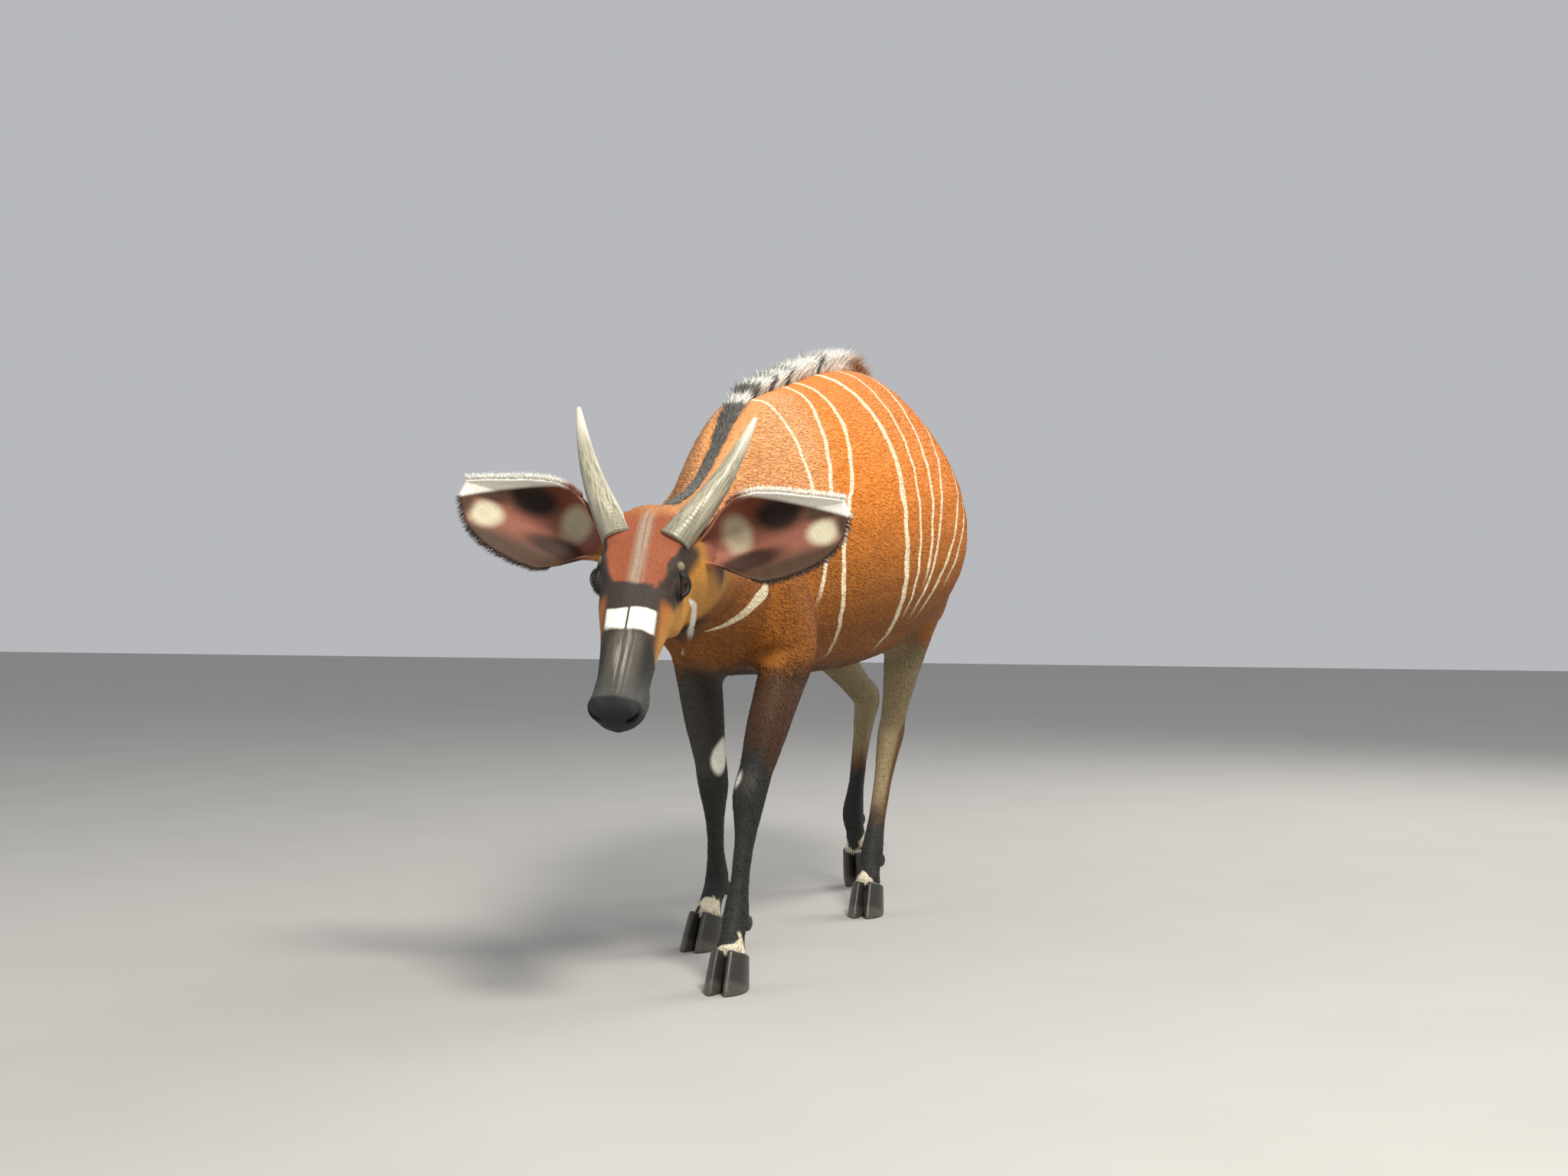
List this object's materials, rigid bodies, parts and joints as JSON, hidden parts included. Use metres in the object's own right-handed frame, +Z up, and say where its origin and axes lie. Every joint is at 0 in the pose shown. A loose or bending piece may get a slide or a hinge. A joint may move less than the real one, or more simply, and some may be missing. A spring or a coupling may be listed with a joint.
{
  "type": "bongo antelope",
  "caption": "Life-size still model of a young bongo antelope walking slowly, head lowered and turned to its left, with short straight horns, broad ears and a hair crest.",
  "frame": {"origin": "centre of the bounding box's base, on the floor between the hooves", "axes": "the animal faces -Y, its own left side is +X, +Z is up"},
  "size_m": [0.6084, 1.6832, 1.1373],
  "materials": {
    "coat": "short chestnut hair with narrow cream stripes",
    "leg": "short dark brown hair with pale patches",
    "ear": "short hair, pale rim",
    "horn": "grey horn with pale tips",
    "hoof": "smooth black horn",
    "eye": "wet and dark"
  },
  "bodies": {
    "root": {"head": "coat", "neck": "coat", "torso": "coat", "tail": "coat", "ear_left": "ear", "ear_right": "ear", "horn_left": "horn", "horn_right": "horn", "eye_left": "eye", "eye_right": "eye", "front_leg_left": "leg", "front_hoof_left_inner": "hoof", "front_dewclaw_left_inner": "hoof", "front_hoof_left_outer": "hoof", "front_dewclaw_left_outer": "hoof", "front_leg_right": "leg", "front_hoof_right_inner": "hoof", "front_dewclaw_right_inner": "hoof", "front_hoof_right_outer": "hoof", "front_dewclaw_right_outer": "hoof", "hind_leg_left": "leg", "hind_hoof_left_inner": "hoof", "hind_dewclaw_left_inner": "hoof", "hind_hoof_left_outer": "hoof", "hind_dewclaw_left_outer": "hoof", "hind_leg_right": "leg", "hind_hoof_right_inner": "hoof", "hind_dewclaw_right_inner": "hoof", "hind_hoof_right_outer": "hoof", "hind_dewclaw_right_outer": "hoof"}
  },
  "joints": []
}
